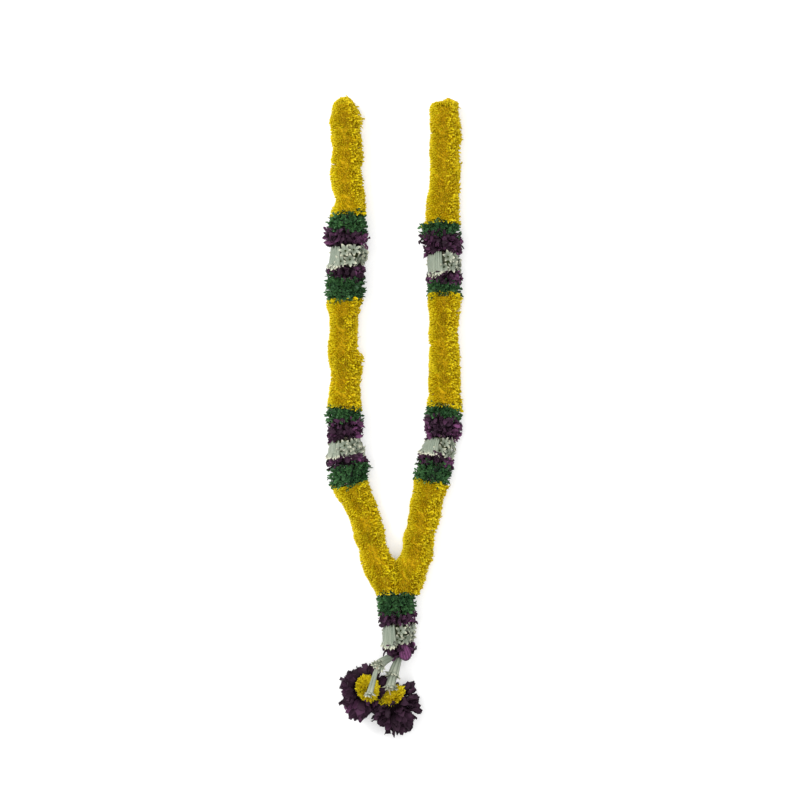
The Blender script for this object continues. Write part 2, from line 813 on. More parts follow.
    def end_bloom(self, stretch: Stretch) -> Shape:
        """The bloom that closes a free end: tips spread over a disc.

        The height of a tip is where the strand's own outline has its radius.

        Args:
            stretch: where the blooms are tied.

        Returns:
            The petals as one shape.
        """
        draw = stretch.draw
        heights = np.linspace(0.0, self.end_depth, 49)
        outline = np.maximum.accumulate(stretch.reach(heights, math.pi / 2))
        count = round(math.pi * outline[-1] ** 2 / self.area_each)
        share, turn = spread_on_disc(count)
        height = np.interp(share * outline[-1], outline, heights)
        lopsided = stretch.reach(height, turn) / stretch.reach(height, math.pi / 2)
        radius = share * outline[-1] * np.clip(lopsided, 0.5, 1.4) - 0.8
        centre, outward, forward = stretch.around(height, turn)
        tip = centre + outward * radius[:, None] - forward * draw.uniform(-1.2, 0.6, (count, 1))
        base, _, _, ahead = stretch.line.frame(np.full(count, stretch.start + self.end_depth))
        loose = 0.2 + 0.6 * smooth_step(np.cos(turn) * share, 0.0, 0.8)
        tint = draw.uniform(0, 1, count)
        return self.fan(base, tip, -ahead, share, loose, np.zeros((count, 3)), tint, draw)

    def build(self, stretch: Stretch) -> Shape:
        """Covers a stretch with blooms round a dense core, and closes a free end.

        Args:
            stretch: where the blooms are tied.

        Returns:
            The blooms and their core.
        """
        shapes = [self.blooms(stretch)]
        hidden = 0.0
        if stretch.start == 0.0:
            shapes.append(self.end_bloom(stretch))
            hidden = self.end_depth * self.core_inset
        inner = replace(stretch, start=stretch.start + hidden, length=stretch.length - hidden)
        core = core_of(inner, self.core_share, self.core_shade)
        return stretch.finished(Shape.joined(shapes), core)

    def cushion(
        self, top: Array, faces: Array, first: Array, radius: float, depth: float,
        draw: Generator,
    ) -> Shape:
        """A flat head of petals: tips spread over a disc, sunk by depth (r / radius)^4 / 4.

        Args:
            top: the middle of its top.
            faces: the way that it faces.
            first: a direction square to that.
            radius: its radius.
            depth: how deep its petals reach.
            draw: the random draws.

        Returns:
            The petals as one shape.
        """
        count = round(math.pi * radius**2 / self.cushion_area_each)
        share, spin = spread_on_disc(count)
        level = circle(first, np.cross(faces, first), spin)
        sunk = 0.25 * depth * share**4 + draw.uniform(-1.0, 1.0, count)
        tip = top + level * (radius * share)[:, None] - faces * sunk[:, None]
        base = top - faces * depth + level * (0.15 * radius * share)[:, None]
        return self.fan(
            base, tip, np.broadcast_to(faces, tip.shape), share, np.full(count, 0.2),
            np.zeros((count, 3)), draw.uniform(0.1, 0.9, count), draw,
        )


@dataclass
class LeafSprigs:
    """Sprigs of small curled leaves tied in a ring."""

    area_each: float = 44.0
    leaves: int = 6
    leaf_length: float = 7.4
    leaf_width: float = 4.8
    core_share: float = 0.5
    blade: Blade = Blade(
        fullness=0.48, thickness=0.4, waves=2.0,
        curls=(0.25, 1.0), cups=(0.1, 0.7), twists=0.6, ruffles=(0.05, 0.25),
    )

    def build(self, stretch: Stretch) -> Shape:
        """Spreads sprigs over the band, each a stem's end with leaves spiralling round it.

        Args:
            stretch: where the sprigs are tied.

        Returns:
            The leaves and the core.
        """
        draw = stretch.draw
        sprigs = stretch.places_for(self.area_each)
        height, turn = stretch.spread(sprigs)
        centre, outward, forward = stretch.around(height, turn)
        around = np.cross(forward, outward)
        lean = draw.uniform(-0.4, 0.4, (sprigs, 1)) + 0.3 * (
            2.0 * height[:, None] / stretch.length - 1.0
        )
        axis = unit(outward + forward * lean + around * draw.uniform(-0.4, 0.4, (sprigs, 1)))
        full = stretch.reach(height, turn)
        reach = full * draw.uniform(0.84, 1.0, sprigs) - 0.6 * self.leaf_length
        foot = full * self.core_share
        base = centre + outward * foot[:, None]
        stem = (reach - foot)[:, None]
        share = np.linspace(0.15, 1.0, self.leaves)[None]
        spin = np.arange(self.leaves)[None] * GOLDEN_ANGLE + draw.uniform(0, 7, (sprigs, 1))
        polar = 1.30 - 0.95 * share + draw.normal(0.0, 0.16, (sprigs, self.leaves))
        first, second = square_frame(axis, forward)
        level = circle(first[:, None], second[:, None], spin)
        chord, face = (way.reshape(-1, 3) for way in splay(axis[:, None], level, polar))
        root = (base[:, None] + axis[:, None] * (stem * share)[..., None]).reshape(-1, 3)
        count = len(root)
        leaves = self.blade.scatter(
            draw, root, chord, face,
            self.leaf_length * draw.uniform(0.75, 1.15, count),
            self.leaf_width * draw.uniform(0.75, 1.15, count),
        )
        pale = np.clip(draw.uniform(0, 1, sprigs) ** 1.5 - 0.25 * np.cos(turn), 0, 1)
        leaves.mark(np.repeat(pale, self.leaves))
        return stretch.finished(leaves, core_of(stretch, self.core_share))


@dataclass
class OrchidPetals:
    """Loose purple orchid petals tied in a ring, splayed every way."""

    area_each: float = 25.0
    petal_length: float = 14.5
    petal_width: float = 6.8
    overhang: float = 5.0
    core_share: float = 0.6
    blade: Blade = Blade(
        rings=4, columns=5, waves=2.6,
        curls=(-0.25, 0.6), cups=(-0.3, 0.75), twists=0.6, ruffles=(0.08, 0.3),
    )
    # The broad petal's pleats: how many, and the kind of blade that each is
    pleats: int = 7
    pleat: Blade = Blade(
        rings=6, columns=5, skew=1.9, fullness=0.4, first=0.08, last=0.96, thickness=0.5
    )

    def build(self, stretch: Stretch) -> Shape:
        """Spreads petals over the band; their tips reach the band's radius.

        A petal leans by an angle from the outward way, towards a random turn. Its root lies
        deeper the straighter it stands, so that all tips end at about the same radius.

        Args:
            stretch: where the petals are tied.

        Returns:
            The petals and the core.
        """
        draw = stretch.draw
        count = stretch.places_for(self.area_each)
        height, turn = stretch.spread(count)
        centre, outward, forward = stretch.around(height, turn)
        around = np.cross(forward, outward)
        lean = draw.uniform(0.15, 1.15, count)
        bearing = draw.uniform(0, math.tau, count)
        length = self.petal_length * draw.uniform(0.78, 1.12, count)
        reach = height + np.sin(lean) * np.sin(bearing) * length
        beyond = np.maximum(reach - stretch.length - self.overhang, -self.overhang - reach)
        bearing = np.where(beyond > 0.0, -bearing, bearing)
        chord, face = splay(outward, circle(around, forward, bearing), lean)
        full = stretch.reach(np.clip(reach, 0.0, stretch.length), turn)
        tip = full * draw.uniform(0.82, 1.06, count)
        deep = np.maximum(tip - length * np.cos(lean), full * 0.3)
        petals = self.blade.scatter(
            draw, centre + outward * deep[:, None], chord, face, length,
            self.petal_width * draw.uniform(0.7, 1.15, count),
        )
        outer = 0.2 + 0.8 * smooth_step(np.abs(np.cos(turn) + 0.15), 0.35, 0.95)
        petals.mark(outer * draw.uniform(0, 1, count) ** 2.2)
        return stretch.finished(petals, core_of(stretch, self.core_share))

    def broad_petal(self, root: Array, tip: Array, width: float) -> Shape:
        """A broad vivid petal in pleats, each a blade beside the next and in turn pale and dark.

        Args:
            root: where it starts.
            tip: where its middle ends.
            width: its full width.

        Returns:
            The petal.
        """
        share = np.linspace(-1.0, 1.0, self.pleats)
        odd = np.arange(self.pleats) % 2
        way = tip - root
        side = unit(np.cross(way, UP))
        face = unit(np.cross(side, way))
        ends = tip + side * (share * width * 0.38)[:, None] - way * (0.16 * share**2)[:, None]
        roots = root + side * (share * width * 0.14)[:, None]
        roots = roots - face * (1.5 * share**2 + 0.6 * odd)[:, None]
        chord = unit(ends - roots)
        one = np.ones(self.pleats)
        return self.pleat.grow(
            roots, chord, unit(np.cross(np.broadcast_to(side, chord.shape), chord)),
            np.linalg.norm(ends - roots, axis=1),
            0.30 * width * one, -0.45 * one, 0.5 * one, 0.1 * share, 0.0 * one, 0.5 * one,
        ).mark(np.where(odd, 0.85, 0.42))


@dataclass
class TuberoseFlorets:
    """Tuberose florets: a slender curved tube that opens into six waxy tepals."""

    tube_radius: float = 1.9
    mouth_radius: float = 2.9
    tepal_length: float = 10.5
    tepal_width: float = 6.0
    tepals: int = 6
    spacing: float = 16.0
    core_share: float = 0.62
    # The turn at which the florets that lie along the strand end
    laid_to: float = math.radians(205)
    tube_rings: int = 8
    tube_columns: int = 8
    # Where the last three rings lie, folded back into the throat, and their radii as shares
    throat: Point = (0.96, 0.8, 0.72)
    throat_radii: Point = (0.62, 0.4, 0.0)
    # The least tint, and how far the tubes' mouths are on the way to the tips' colour
    least_tint: float = 0.0
    mouth_along: float = 0.50
    blade: Blade = Blade(
        rings=4, columns=5, skew=0.85, fullness=0.8, first=0.08, last=0.88, thickness=0.7,
        curls=(-0.45, 0.25), cups=(0.2, 0.5), twists=0.2,
    )

    def florets(
        self, foot: Array, bend: Array, mouth: Array, opening: Array, size: Array,
        draw: Generator,
    ) -> Shape:
        """Florets whose tubes follow the parabola through a foot, past a bend, to a mouth.

        The path is (1-t)^2 foot + 2t(1-t) bend + t^2 mouth. The radius grows from the foot to
        the mouth, and the last rings fold back into the throat.

        Args:
            foot: where each floret starts.
            bend: the point that pulls its tube.
            mouth: the middle of its mouth.
            opening: how far the tepals open from the tube's own direction, in radians.
            size: each floret's size, 1 for a full one.
            draw: the random draws.

        Returns:
            The tubes and tepals as one shape.
        """
        count, tepals = len(foot), self.tepals
        t = np.concatenate([[0.0], np.linspace(0.02, 1.0, self.tube_rings - 1), self.throat])
        blend = t[None, :, None]
        path = (1 - blend) ** 2 * foot[:, None] + 2 * blend * (1 - blend) * bend[:, None]
        path = path + blend**2 * mouth[:, None]
        grown = self.tube_radius + (self.mouth_radius - self.tube_radius) * smooth_step(t, 0.25, 1)
        grown[1] = self.tube_radius * 0.6
        grown[-3:] = self.mouth_radius * np.array(self.throat_radii)
        pull = 2 * (1 - blend) * (bend - foot)[:, None] + 2 * blend * (mouth - bend)[:, None]
        tangent = unit(pull)
        ahead = unit(mouth - bend)
        side, other = square_frame(ahead, np.broadcast_to(UP + 0.01, ahead.shape))
        ring_side, _ = square_frame(tangent, np.broadcast_to(side[:, None], tangent.shape))
        tint = np.maximum(draw.uniform(0, 1, count), self.least_tint)
        along = 0.12 + (self.mouth_along - 0.12) * t
        along[-3:] = 0.0
        radius = (grown * size[:, None])[..., None]
        shape = tubes(path, ring_side, tangent, radius, self.tube_columns, along, tint)

        spin = np.arange(tepals)[None] * math.tau / tepals + draw.uniform(0, 1, (count, 1))
        inner = np.arange(tepals)[None] % 2
        level = circle(side[:, None], other[:, None], spin)
        polar = opening[:, None] + 0.12 * inner + draw.normal(0.0, 0.15, (count, tepals))
        chord, face = (way.reshape(-1, 3) for way in splay(ahead[:, None], level, polar))
        rim = self.mouth_radius * (0.80 - 0.08 * inner)[..., None] * size[:, None, None]
        root = mouth[:, None] + level * rim - ahead[:, None] * (1.6 + 0.3 * inner)[..., None]
        full = np.repeat(size, tepals)
        opened = self.blade.scatter(
            draw, root.reshape(-1, 3), chord, face,
            self.tepal_length * full * draw.uniform(0.85, 1.12, len(full)),
            self.tepal_width * full * draw.uniform(0.85, 1.1, len(full)),
            np.repeat(tint, tepals),
        )
        return Shape.joined([shape, opened.mark(np.ones(len(full)))])

    def open_florets(self, stretch: Stretch, free_from: float, free: float) -> Shape:
        """Florets in two staggered rings, mouths outwards, on the part without laid ones.

        Args:
            stretch: where the florets are tied.
            free_from: the turn at which that part starts.
            free: how far it turns about the stretch.

        Returns:
            The florets as one shape.
        """
        draw = stretch.draw
        count = 2 * round(free * stretch.radius / self.spacing)
        index = np.arange(count)
        turn = free_from + (index + 0.5) / count * free + draw.uniform(-0.06, 0.06, count)
        share = np.where(index % 2 == 0, 0.27, 0.75) + draw.uniform(-0.05, 0.05, count)
        centre, outward, forward = stretch.around(share * stretch.length, turn)
        foot_share = 0.5 + (share - 0.5) * 0.3
        foot_centre, foot_outward, _ = stretch.around(foot_share * stretch.length, turn)
        full = stretch.reach(share * stretch.length, turn)
        mouth = centre + outward * ((full - 4.0) * draw.uniform(0.93, 1.0, count))[:, None]
        foot = foot_centre + foot_outward * (0.40 * full)[:, None]
        tilt = 1.3 * (share - 0.5)[:, None]
        bend = mouth - unit(outward + forward * tilt + draw.normal(0.0, 0.2, (count, 3))) * 7.0
        opening = draw.uniform(0.95, 1.4, count)
        return self.florets(foot, bend, mouth, opening, draw.uniform(0.9, 1.1, count), draw)

    def laid_florets(self, stretch: Stretch, laid_from: float) -> Shape:
        """Florets that lie side by side along the strand on its left.

        Args:
            stretch: where the florets are tied.
            laid_from: the turn at which they start.

        Returns:
            The florets as one shape.
        """
        draw = stretch.draw
        width = 2.0 * self.tube_radius * 1.04
        count = round((self.laid_to - laid_from) * stretch.radius / width)
        turn = laid_from + (np.arange(count) + 0.5) / count * (self.laid_to - laid_from)
        points = []
        for share, lift in ((0.02, 0.80), (0.42, 0.93), (0.90, 0.93)):
            height = share * stretch.length + draw.uniform(-2.2, 2.2, count)
            centre, outward, _ = stretch.around(height, turn)
            radius = lift * (stretch.reach(height, turn) - self.tube_radius)
            points.append(centre + outward * (radius + draw.uniform(-1.1, 1.0, count))[:, None])
        opening = draw.uniform(0.1, 0.45, count)
        return self.florets(*points, opening, draw.uniform(0.95, 1.1, count), draw)

    def build(self, stretch: Stretch) -> Shape:
        """Ties florets round the core: open ones outwards, and laid ones on the left.

        Args:
            stretch: where the florets are tied.

        Returns:
            The florets and the core.
        """
        laid_from = math.radians(stretch.run.laid_from)
        free = math.tau - (self.laid_to - laid_from)
        shapes = [
            self.open_florets(stretch, self.laid_to, free), self.laid_florets(stretch, laid_from)
        ]
        return stretch.finished(Shape.joined(shapes), core_of(stretch, self.core_share))


@dataclass(frozen=True)
class TwistedCord:
    """A cord of three plies laid round each other."""

    radius: float
    lay: float
    plies: int = 3
    columns: int = 6
    end: float = 0.3

    def build(self, line: Line, start: float, draw: Generator) -> Shape:
        """Carries each ply as a helix round the line, inside the cord's radius.

        Args:
            line: the cord's line.
            start: where the cord starts along it.
            draw: the random draws.

        Returns:
            The plies as one shape.
        """
        stations = np.linspace(start, line.length, round((line.length - start) / (self.lay / 7)))
        centre, side, up, forward = line.frame(stations)
        ply_radius = self.radius * 0.52
        twice = np.r_[0, np.arange(len(stations)), len(stations) - 1]
        beyond = np.zeros((len(twice), 1))
        beyond[[0, -1], 0] = -self.end, self.end
        shapes = []
        for ply in range(self.plies):
            turn = stations / self.lay * math.tau + ply * math.tau / self.plies
            middle = centre + circle(side, up, turn) * (self.radius - ply_radius)
            shapes.append(tubes(
                (middle[twice] + forward[twice] * beyond)[None], side[twice][None],
                forward[twice][None], np.full((1, len(twice), 1), ply_radius), self.columns,
                stations[twice] / self.lay % 1.0, draw.uniform(0, 1, 1),
            ).mark(np.array([0.5])))
        return Shape.joined(shapes)


CORD = TwistedCord(radius=3.0, lay=16.0)
THREAD = TwistedCord(radius=0.9, lay=5.0)
# Where the thread runs inside a tassel, as depths below the top of its head
THREAD_DEPTHS = (-1.0, 4.0, 14.0, 26.0)
STRING_FLORETS = TuberoseFlorets(
    tube_radius=2.4, mouth_radius=3.3, tepal_length=8.5, tepal_width=5.2,
    least_tint=0.85, mouth_along=0.66,
)


@dataclass(frozen=True)
class Tassel:
    """A string of tuberose florets, and a yellow head of blooms over a skirt of orchid petals."""

    place: Place
    middle: Point
    faces: Point
    # The way up along the skirt
    upward: Point
    head_radius: float
    skirt_radius: float
    depth: float
    # How much longer the petals are that point down the garland, and how vivid the skirt is
    hang: float
    vivid: float
    # The thread's line down to the head, and where the string's last florets leave it
    thread: tuple[Point, ...]
    across: tuple[Point, ...]
    # For each whorl of the string: florets, how far from the line they lie, and where their
    # feet and mouths are as shares of the line
    whorls: tuple[tuple[int, float, float, float], ...]
    string_start: float = 1.0
    head_depth: float = 17.0
    petal_length: float = 26.0
    petal_width: float = 13.0
    # For each tier: petals, lean from the way down, root as a share of the head's radius, and
    # depth below the head's top as a share of the tassel's depth
    tiers: tuple[tuple[int, float, float, float], ...] = (
        (24, 1.80, 0.80, 0.16), (30, 1.55, 0.78, 0.26), (32, 1.30, 0.70, 0.38),
        (30, 1.00, 0.60, 0.50), (26, 0.75, 0.45, 0.62), (18, 0.50, 0.30, 0.72),
        (9, 0.30, 0.12, 0.78),
    )
    blade: Blade = Blade(
        rings=5, columns=6, skew=2.1, fullness=0.33, first=0.1, last=0.97,
        waves=2.6, notches=1.7, fade=0.6,
        curls=(-0.1, 0.6), cups=(-0.4, 0.8), twists=0.9, ruffles=(0.25, 0.7),
    )

    def axes(self, shift: Array, faces: Point) -> tuple[Array, ...]:
        """Where the head's top is and how this part of the tassel faces.

        Args:
            shift: from the lists' coordinates to the frame's.
            faces: the way that the part faces.

        Returns:
            The top, that way as a unit and two ways square to it.
        """
        faces = unit(np.array(faces))
        top = np.array(self.middle) + shift + faces * self.head_depth / 2
        return top, faces, *square_frame(faces, np.array((1.0, 0.0, 0.0)))

    def string(self, shift: Array, draw: Generator) -> Shape:
        """Whorls of florets that hang along the thread, one below the other.

        Args:
            shift: from the lists' coordinates to the frame's.
            draw: the random draws.

        Returns:
            The florets as one shape.
        """
        line = Line((*self.thread, *self.across), shift)
        rest = line.length - self.string_start
        shapes = []
        for count, spread, *shares in self.whorls:
            first, last = (self.string_start + rest * share for share in shares)
            turn = np.arange(count) * math.tau / count + draw.uniform(0.0, 1.5)
            turn = turn + draw.uniform(-0.3, 0.3, count)
            end = last - draw.uniform(0.0, 0.2, count) * (last - first)
            points = []
            for at, wide in ((np.full(count, first), 0.75), ((first + end) / 2, 1.0), (end, 1.25)):
                centre, outward, _ = line.around(at, turn)
                points.append(centre + outward * spread * wide)
            opening = draw.uniform(0.35, 0.9, count)
            size = draw.uniform(0.9, 1.1, count)
            shapes.append(STRING_FLORETS.florets(*points, opening, size, draw))
        return Shape.joined(shapes).pressed((FLOOR,))

    def head(self, flowers: Chrysanthemums, shift: Array, draw: Generator) -> Shape:
        """A flat cushion of chrysanthemum petals.

        Args:
            flowers: how chrysanthemum petals are made.
            shift: from the lists' coordinates to the frame's.
            draw: the random draws.

        Returns:
            The head as one shape.
        """
        top, faces, first, _ = self.axes(shift, self.faces)
        return flowers.cushion(top, faces, first, self.head_radius, self.head_depth * 0.8, draw)

    def skirt(self, shift: Array, draw: Generator) -> Shape:
        """Petals in tiers that spread from under the head, the lower ones more closed.

        A petal leans by its tier's angle from the way down the tassel, and is as long as it
        takes to reach the skirt's radius. A dense core, round like an egg, fills the middle.

        Args:
            shift: from the lists' coordinates to the frame's.
            draw: the random draws.

        Returns:
            The skirt as one shape.
        """
        top, faces, first, second = self.axes(shift, self.upward)
        shapes = []
        for tier, (count, polar, root_share, depth_share) in enumerate(self.tiers):
            turn = (np.arange(count) + 0.5 * (tier % 2)) * math.tau / count
            turn = turn + draw.uniform(-0.22, 0.22, count)
            level = circle(first, second, turn)
            lean = np.maximum(polar + draw.normal(0.0, 0.3, count), 0.1)
            inset = self.head_radius * root_share
            root = top - faces * (self.depth * depth_share) + level * inset
            wide = (self.skirt_radius - inset) / np.maximum(np.sin(lean), 0.3)
            length = np.minimum(wide, self.petal_length) * draw.uniform(0.68, 1.10, count)
            length = length * (1.0 + self.hang * np.maximum(-level[:, 1], 0.0))
            petals = self.blade.scatter(
                draw, root, circle(-faces, level, lean), circle(level, faces, lean), length,
                self.petal_width * draw.uniform(0.6, 1.2, count),
            )
            lit = 0.25 + 0.75 * smooth_step(-level[:, 1], -0.2, 0.8)
            spots = 0.01 + 0.24 * draw.uniform(0, 1, count) ** 2
            shapes.append(petals.mark(self.vivid * spots * lit))
        share = np.concatenate([[0.0], np.linspace(0.02, 1.0, 8), [1.02]])
        radius = self.head_radius * 0.85 * np.sqrt(1.0 - (0.95 * np.clip(share, 0, 1)) ** 2)
        depth = self.head_depth * 0.35 + (self.depth * 0.85 - self.head_depth * 0.35) * share
        ways = (np.broadcast_to(way, (1, len(share), 3)) for way in (first, -faces))
        middle = (top - faces * depth[:, None])[None]
        shapes.append(tubes(middle, *ways, radius[None, :, None], 14, np.zeros(len(share))))
        point = tuple(np.array(BETWEEN_TASSELS) + shift)
        towards = tuple(self.place.facing * part for part in TOWARDS_RIGHT_TASSEL)
        return Shape.joined(shapes).pressed((FLOOR, CEILING, Wall(point, towards, 2.0)))

    def threads(self, shift: Array, draw: Generator) -> Shape:
        """The thread, which runs down the string and on into the head.

        Args:
            shift: from the lists' coordinates to the frame's.
            draw: the random draws.

        Returns:
            Its plies.
        """
        top, faces, _, _ = self.axes(shift, self.faces)
        inside = (tuple(top - shift - faces * depth) for depth in THREAD_DEPTHS)
        return THREAD.build(Line((*self.thread, *inside), shift), 0.0, draw)


TASSELS = (
    Tassel(
        Place.LEFT,
        middle=(-42.0, -432.5, 42.0), faces=(0.48, 0.35, 0.80), upward=(0.28, 0.35, 0.89),
        head_radius=24.0, skirt_radius=42.5, depth=44.0, hang=0.40, vivid=1.25,
        thread=(
            (3, -382, 24), (-7, -382, 31), (-16, -387, 43), (-23.5, -394, 53), (-28, -405, 59),
            (-32, -421, 62),
        ),
        across=((-35.5, -431, 64.5), (-38, -444, 64.5)),
        whorls=((6, 4.4, 0.0, 0.46), (2, 2.5, 0.50, 1.0)),
    ),
    Tassel(
        Place.RIGHT,
        middle=(0.0, -447.0, 41.0), faces=(-0.46, 0.72, 0.52), upward=(-0.22, 0.87, 0.44),
        head_radius=25.0, skirt_radius=42.0, depth=60.0, hang=0.25, vivid=0.45,
        thread=(
            (10.5, -381, 24), (9, -387, 24.8), (5, -394, 27.6), (0.5, -409, 35), (-3, -423, 42.5),
            (-5.5, -433, 46.5),
        ),
        across=(),
        whorls=((6, 4.8, 0.0, 0.58), (5, 4.0, 0.35, 1.0)),
    ),
)


class Wiring:
    """Adds nodes to a node tree and joins them."""

    def __init__(self, tree: bpy.types.NodeTree) -> None:
        """Keeps the tree that the nodes go in."""
        self.tree = tree

    def add(self, kind: str, inputs: dict | None = None, **settings: object) -> bpy.types.Node:
        """Adds a node.

        Args:
            kind: the node's type name.
            inputs: what each input gets, a socket or a plain value, by name or number.
            settings: the node's own settings.

        Returns:
            The node.
        """
        node = self.tree.nodes.new(kind)
        for name, value in settings.items():
            setattr(node, name, value)
        for name, value in (inputs or {}).items():
            self.give(node.inputs[name], value)
        return node

    def give(self, socket: Socket, value: Value) -> None:
        """Links a socket to an input, or sets the input's own value.

        Args:
            socket: the input.
            value: what it gets.
        """
        if isinstance(value, Socket):
            self.tree.links.new(value, socket)
        elif isinstance(value, tuple) and len(value) == 3 and socket.type == "RGBA":
            socket.default_value = (*value, 1.0)
        else:
            socket.default_value = value

    def attribute(self, name: str) -> Socket:
        """A value that the piece's points carry."""
        return self.add("ShaderNodeAttribute", attribute_name=name).outputs["Fac"]

    def noise(self, scale: Value, detail: float) -> Socket:
        """Noise on Object coordinates.

        Args:
            scale: its scale.
            detail: its detail.

        Returns:
            The noise, from 0 to 1.
        """
        place = self.add("ShaderNodeTexCoord").outputs["Object"]
        inputs = {"Vector": place, "Scale": scale, "Detail": detail}
        return self.add("ShaderNodeTexNoise", inputs).outputs[0]

    def sum(
        self, operation: str, first: Value, second: Value = 0.0, third: Value = 0.0,
        clamp: bool = False,
    ) -> Socket:
        """One step of arithmetic between sockets or numbers."""
        inputs = {0: first, 1: second, 2: third}
        return self.add("ShaderNodeMath", inputs, operation=operation, use_clamp=clamp).outputs[0]

    def mix(self, share: Value, first: Value, second: Value, blend: str = "MIX") -> Socket:
        """A colour between two, by a share."""
        inputs = {0: share, 6: first, 7: second}
        return self.add("ShaderNodeMix", inputs, data_type="RGBA", blend_type=blend).outputs[2]

    def remap(
        self, value: Value, low: float, high: float, to_low: float = 0.0, to_high: float = 1.0
    ) -> Socket:
        """A value carried from one range to another by a smooth step."""
        inputs = dict(enumerate((value, low, high, to_low, to_high)))
        return self.add("ShaderNodeMapRange", inputs, interpolation_type="SMOOTHSTEP").outputs[0]


def new_group(name: str, inputs: Sequence[str], outputs: Sequence[str]) -> tuple:
    """Starts a shader node group with number sockets.

    Args:
        name: the group's name.
        inputs: the name of each input.
        outputs: the name of each output.

    Returns:
        The tree, its wiring, the sockets that it is given and those that it makes.
    """
    tree = bpy.data.node_groups.new(name, "ShaderNodeTree")
    for way, sockets in (("INPUT", inputs), ("OUTPUT", outputs)):
        for socket in sockets:
            tree.interface.new_socket(socket, in_out=way, socket_type="NodeSocketFloat")
    wiring = Wiring(tree)
    given = wiring.add("NodeGroupInput").outputs
    return tree, wiring, given, wiring.add("NodeGroupOutput").inputs


VEIN_WANDER = 0.3


def vein_group() -> bpy.types.NodeTree:
    """Veins that run from a petal's root to its tip.

    The mask is |cos(pi count across / 2)|^sharpness, and it fades towards the edge.

    Returns:
        The group, with the outputs Mask and Height.
    """
    tree, wiring, given, made = new_group(
        "petal_veins", ("Count", "Sharpness"), ("Mask", "Height")
    )
    across, along = wiring.attribute("across"), wiring.attribute("along")
    wander = wiring.sum("SUBTRACT", wiring.noise(160.0, 2.0), 0.5)
    wander = wiring.sum("MULTIPLY", wander, VEIN_WANDER)
    spread = wiring.sum("MULTIPLY_ADD", along, 0.35, 0.8)
    turned = wiring.sum("MULTIPLY", wiring.sum("ADD", across, wander), spread)
    angle = wiring.sum("MULTIPLY", turned, wiring.sum("MULTIPLY", given["Count"], math.pi / 2))
    ridge = wiring.sum("ABSOLUTE", wiring.sum("COSINE", angle))
    mask = wiring.sum("POWER", ridge, given["Sharpness"])
    wiring.give(made["Mask"], mask)
    wiring.give(made["Height"], wiring.sum("MULTIPLY", mask, wiring.remap(along, 1.0, 0.6)))
    return tree


def patch_group() -> bpy.types.NodeTree:
    """Soft patches on Object coordinates: broad ones, with fine ones laid over them.

    Returns:
        The group, with the outputs Broad and Fine, each from 0 to 1.
    """
    tree, wiring, given, made = new_group(
        "soft_patches", ("Broad Scale", "Fine Scale"), ("Broad", "Fine")
    )
    for output, detail in (("Broad", 2.0), ("Fine", 4.0)):
        noise = wiring.noise(given[output + " Scale"], detail)
        wiring.give(made[output], wiring.remap(noise, 0.3, 0.7))
    return tree


@dataclass(frozen=True)
class Finish:
    """How one kind of petal, leaf or cord looks."""

    name: str
    slot: str
    deep: Colour
    low: Colour
    high: Colour
    tip: Colour
    vein: Colour
    vein_count: float
    vein_sharpness: float
    vein_share: float
    deep_from: float
    deep_to: float
    tip_from: float
    ring_share: float
    roughness: Pair
    bump: float
    specular: float
    bump_distance: float = 0.3
    patch_scale: float = 45.0
    fine_scale: float = 700.0

    def material(
        self, veins: bpy.types.NodeTree, patches: bpy.types.NodeTree
    ) -> bpy.types.Material:
        """Makes the material.

        The colour goes from the deep one at a petal's root, through one between low and high
        that its own tint, its place in the bloom and soft patches choose, to the tip's colour.

        Args:
            veins: the vein group.
            patches: the patch group.

        Returns:
            The material.
        """
        made = bpy.data.materials.new(self.name)
        made.use_nodes = True
        wiring = Wiring(made.node_tree)
        shader = made.node_tree.nodes["Principled BSDF"].inputs
        along, tint, ring = (wiring.attribute(name) for name in ("along", "tint", "ring"))
        scales = {"Broad Scale": self.patch_scale, "Fine Scale": self.fine_scale}
        patch = wiring.add("ShaderNodeGroup", scales, node_tree=patches).outputs
        shape = {"Count": self.vein_count, "Sharpness": self.vein_sharpness}
        vein = wiring.add("ShaderNodeGroup", shape, node_tree=veins).outputs
        rest = 1.0 - self.ring_share
        chosen = wiring.sum("MULTIPLY", ring, self.ring_share)
        chosen = wiring.sum("MULTIPLY_ADD", tint, 0.6 * rest, chosen)
        chosen = wiring.sum("MULTIPLY_ADD", patch["Broad"], 0.4 * rest, chosen, clamp=True)
        colour = wiring.mix(chosen, self.low, self.high)
        veined = wiring.sum("MULTIPLY_ADD", ring, 0.9 * self.vein_share, 0.1 * self.vein_share)
        veined = wiring.sum("MULTIPLY", vein["Mask"], veined)
        colour = wiring.mix(veined, colour, self.vein)
        colour = wiring.mix(wiring.remap(along, self.tip_from, 1.0), colour, self.tip)
        spots = wiring.remap(patch["Fine"], 0.0, 1.0, 0.86, 1.0)
        grey = wiring.add("ShaderNodeCombineColor", {0: spots, 1: spots, 2: spots}).outputs[0]
        colour = wiring.mix(1.0, colour, grey, "MULTIPLY")
        colour = wiring.mix(wiring.remap(along, self.deep_from, self.deep_to), self.deep, colour)
        height = wiring.sum("MULTIPLY_ADD", patch["Fine"], 0.35, vein["Height"])
        rough = wiring.remap(patch["Fine"], 0.0, 1.0, *self.roughness)
        bump = wiring.add("ShaderNodeBump", {
            "Strength": self.bump, "Distance": self.bump_distance * MM, "Height": height,
        })
        for name, value in (
            ("Base Color", colour), ("Roughness", rough), ("Normal", bump.outputs[0]),
            ("Specular IOR Level", self.specular),
        ):
            wiring.give(shader[name], value)
        return made


